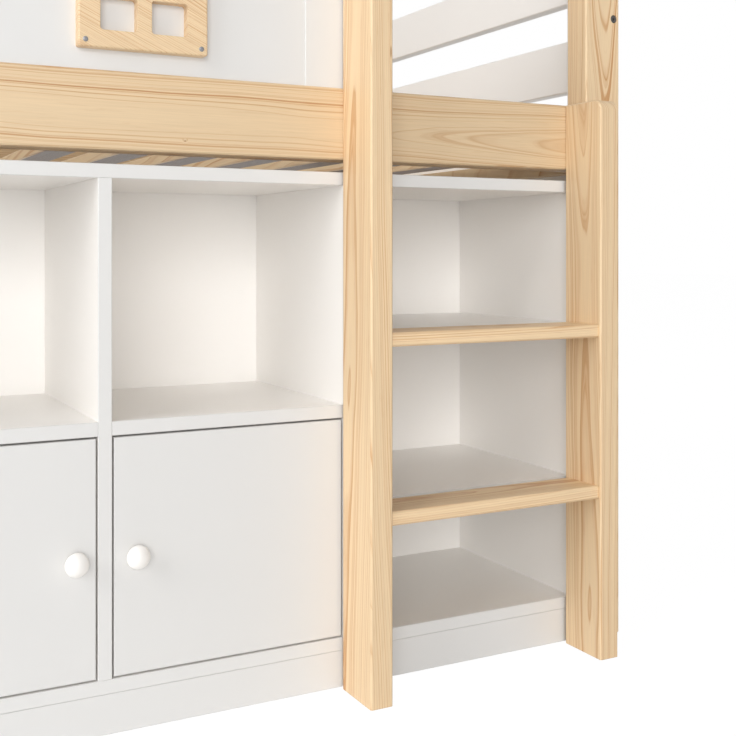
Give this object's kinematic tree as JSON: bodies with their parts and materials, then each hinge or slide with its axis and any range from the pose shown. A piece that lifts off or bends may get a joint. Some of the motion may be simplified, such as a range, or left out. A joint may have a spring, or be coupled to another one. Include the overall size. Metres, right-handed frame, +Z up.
{
  "type": "mid sleeper bed",
  "caption": "Pine and white raised single bed with a panelled front guard, ladder, inset-door cupboards and a bookcase under the front, and slats on ledgers.",
  "frame": {"origin": "on the floor, under the middle of the whole outline, ladder included", "axes": "+X along the bed towards the ladder end, -Y towards the front with the ladder and the doors, +Z up"},
  "size_m": [1.954, 1.046, 1.115],
  "materials": {
    "pine": "clear matt lacquer on solid pine",
    "white_lacquer": "white satin lacquer on board",
    "knob_white": "white satin lacquer on turned wood",
    "bolt_black": "black oxide steel",
    "zinc": "zinc plated steel",
    "nickel": "nickel plated pressed steel"
  },
  "bodies": {
    "bed": {"barrel_nuts": "zinc", "bookcase_floor": "white_lacquer", "bookcase_shelves": "white_lacquer", "bookcase_sides": "white_lacquer", "bookcase_top": "white_lacquer", "cabinet_backs": "white_lacquer", "cabinet_plinths": "white_lacquer", "cupboard_left_floor": "white_lacquer", "cupboard_left_shelves": "white_lacquer", "cupboard_left_top": "white_lacquer", "cupboard_left_uprights": "white_lacquer", "cupboard_right_floor": "white_lacquer", "cupboard_right_shelves": "white_lacquer", "cupboard_right_top": "white_lacquer", "cupboard_right_uprights": "white_lacquer", "end_guard_boards_left": "white_lacquer", "end_guard_boards_right": "white_lacquer", "end_rails_left": "white_lacquer", "end_rails_right": "white_lacquer", "end_stiles_left": "white_lacquer", "end_stiles_right": "white_lacquer", "frame_bolts": "bolt_black", "guard_cap": "pine", "guard_panel": "white_lacquer", "guard_uprights": "white_lacquer", "hinge_arms": "nickel", "ladder_bolts": "bolt_black", "ladder_stile_left": "pine", "ladder_stile_right": "pine", "ledger_front": "pine", "ledger_rear": "pine", "ledgers_end": "pine", "packers": "white_lacquer", "post_front_left": "pine", "post_front_right": "pine", "post_rear_left": "pine", "post_rear_right": "pine", "rail_front": "pine", "rail_rear": "pine", "rear_guard_boards": "white_lacquer", "rear_guard_stiles": "white_lacquer", "slats": "pine", "step_lower": "pine", "step_upper": "pine", "trim_screws": "zinc", "window_trim_1": "pine", "window_trim_2": "pine", "window_trim_3": "pine"},
    "door_1": {"door_1": "white_lacquer", "knob_1": "knob_white", "hinge_cups_1": "nickel"},
    "door_2": {"door_2": "white_lacquer", "knob_2": "knob_white", "hinge_cups_2": "nickel"},
    "door_3": {"door_3": "white_lacquer", "knob_3": "knob_white", "hinge_cups_3": "nickel"},
    "door_4": {"door_4": "white_lacquer", "knob_4": "knob_white", "hinge_cups_4": "nickel"}
  },
  "joints": [
    {"name": "door_1_hinge", "type": "hinge", "parent": "bed", "child": "door_1", "pos_m": [-0.8735, -0.432, 0.2195], "axis": [0, 0, -1], "range_deg": [0, 105]},
    {"name": "door_2_hinge", "type": "hinge", "parent": "bed", "child": "door_2", "pos_m": [-0.2285, -0.432, 0.2195], "axis": [0, 0, 1], "range_deg": [0, 90]},
    {"name": "door_3_hinge", "type": "hinge", "parent": "bed", "child": "door_3", "pos_m": [-0.1695, -0.432, 0.2195], "axis": [0, 0, -1], "range_deg": [0, 90]},
    {"name": "door_4_hinge", "type": "hinge", "parent": "bed", "child": "door_4", "pos_m": [0.4755, -0.432, 0.2195], "axis": [0, 0, 1], "range_deg": [0, 90]}
  ]
}
